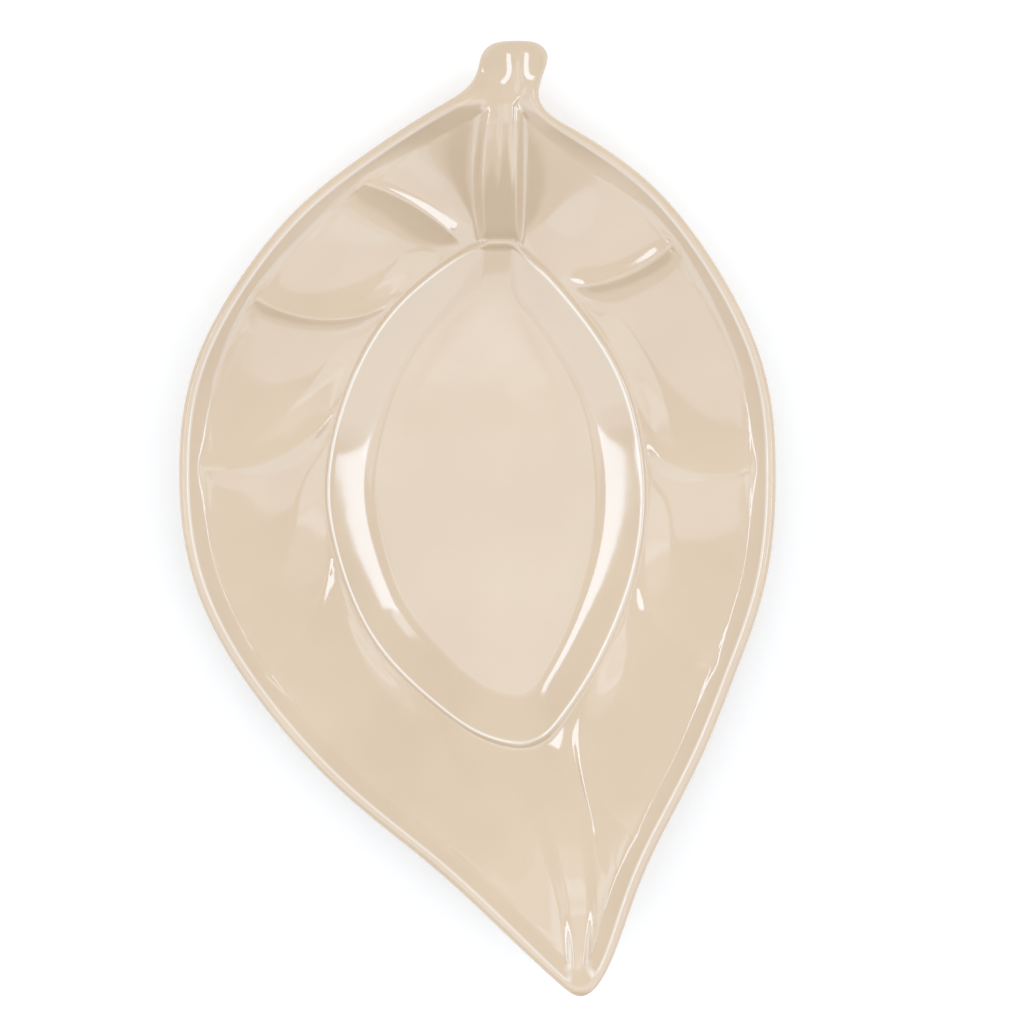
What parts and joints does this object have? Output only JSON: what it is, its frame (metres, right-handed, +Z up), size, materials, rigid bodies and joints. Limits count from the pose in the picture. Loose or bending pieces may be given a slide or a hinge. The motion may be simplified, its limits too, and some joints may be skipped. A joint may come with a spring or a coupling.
{
  "type": "leaf shaped plate",
  "caption": "Shallow leaf shaped serving dish with a short stalk, raised veins, a rolled lip and a sunk well, standing on a foot ring.",
  "frame": {"origin": "middle of the bounding box in plan, on the surface that the foot ring stands on", "axes": "+Z up, +Y along the leaf towards its stalk, +X to the right as seen from above with the stalk at the top"},
  "size_m": [0.1882, 0.3006, 0.0315],
  "materials": {
    "bare_clay": "matt fired stoneware, wiped free of glaze",
    "clay_body": "fired stoneware under the glaze",
    "beige_glaze": "glossy opaque beige glaze"
  },
  "bodies": {
    "root": {"leaf_body": "clay_body", "stalk": "clay_body", "foot_ring": "bare_clay", "glaze_coat": "beige_glaze", "base_glaze": "beige_glaze"}
  },
  "joints": []
}
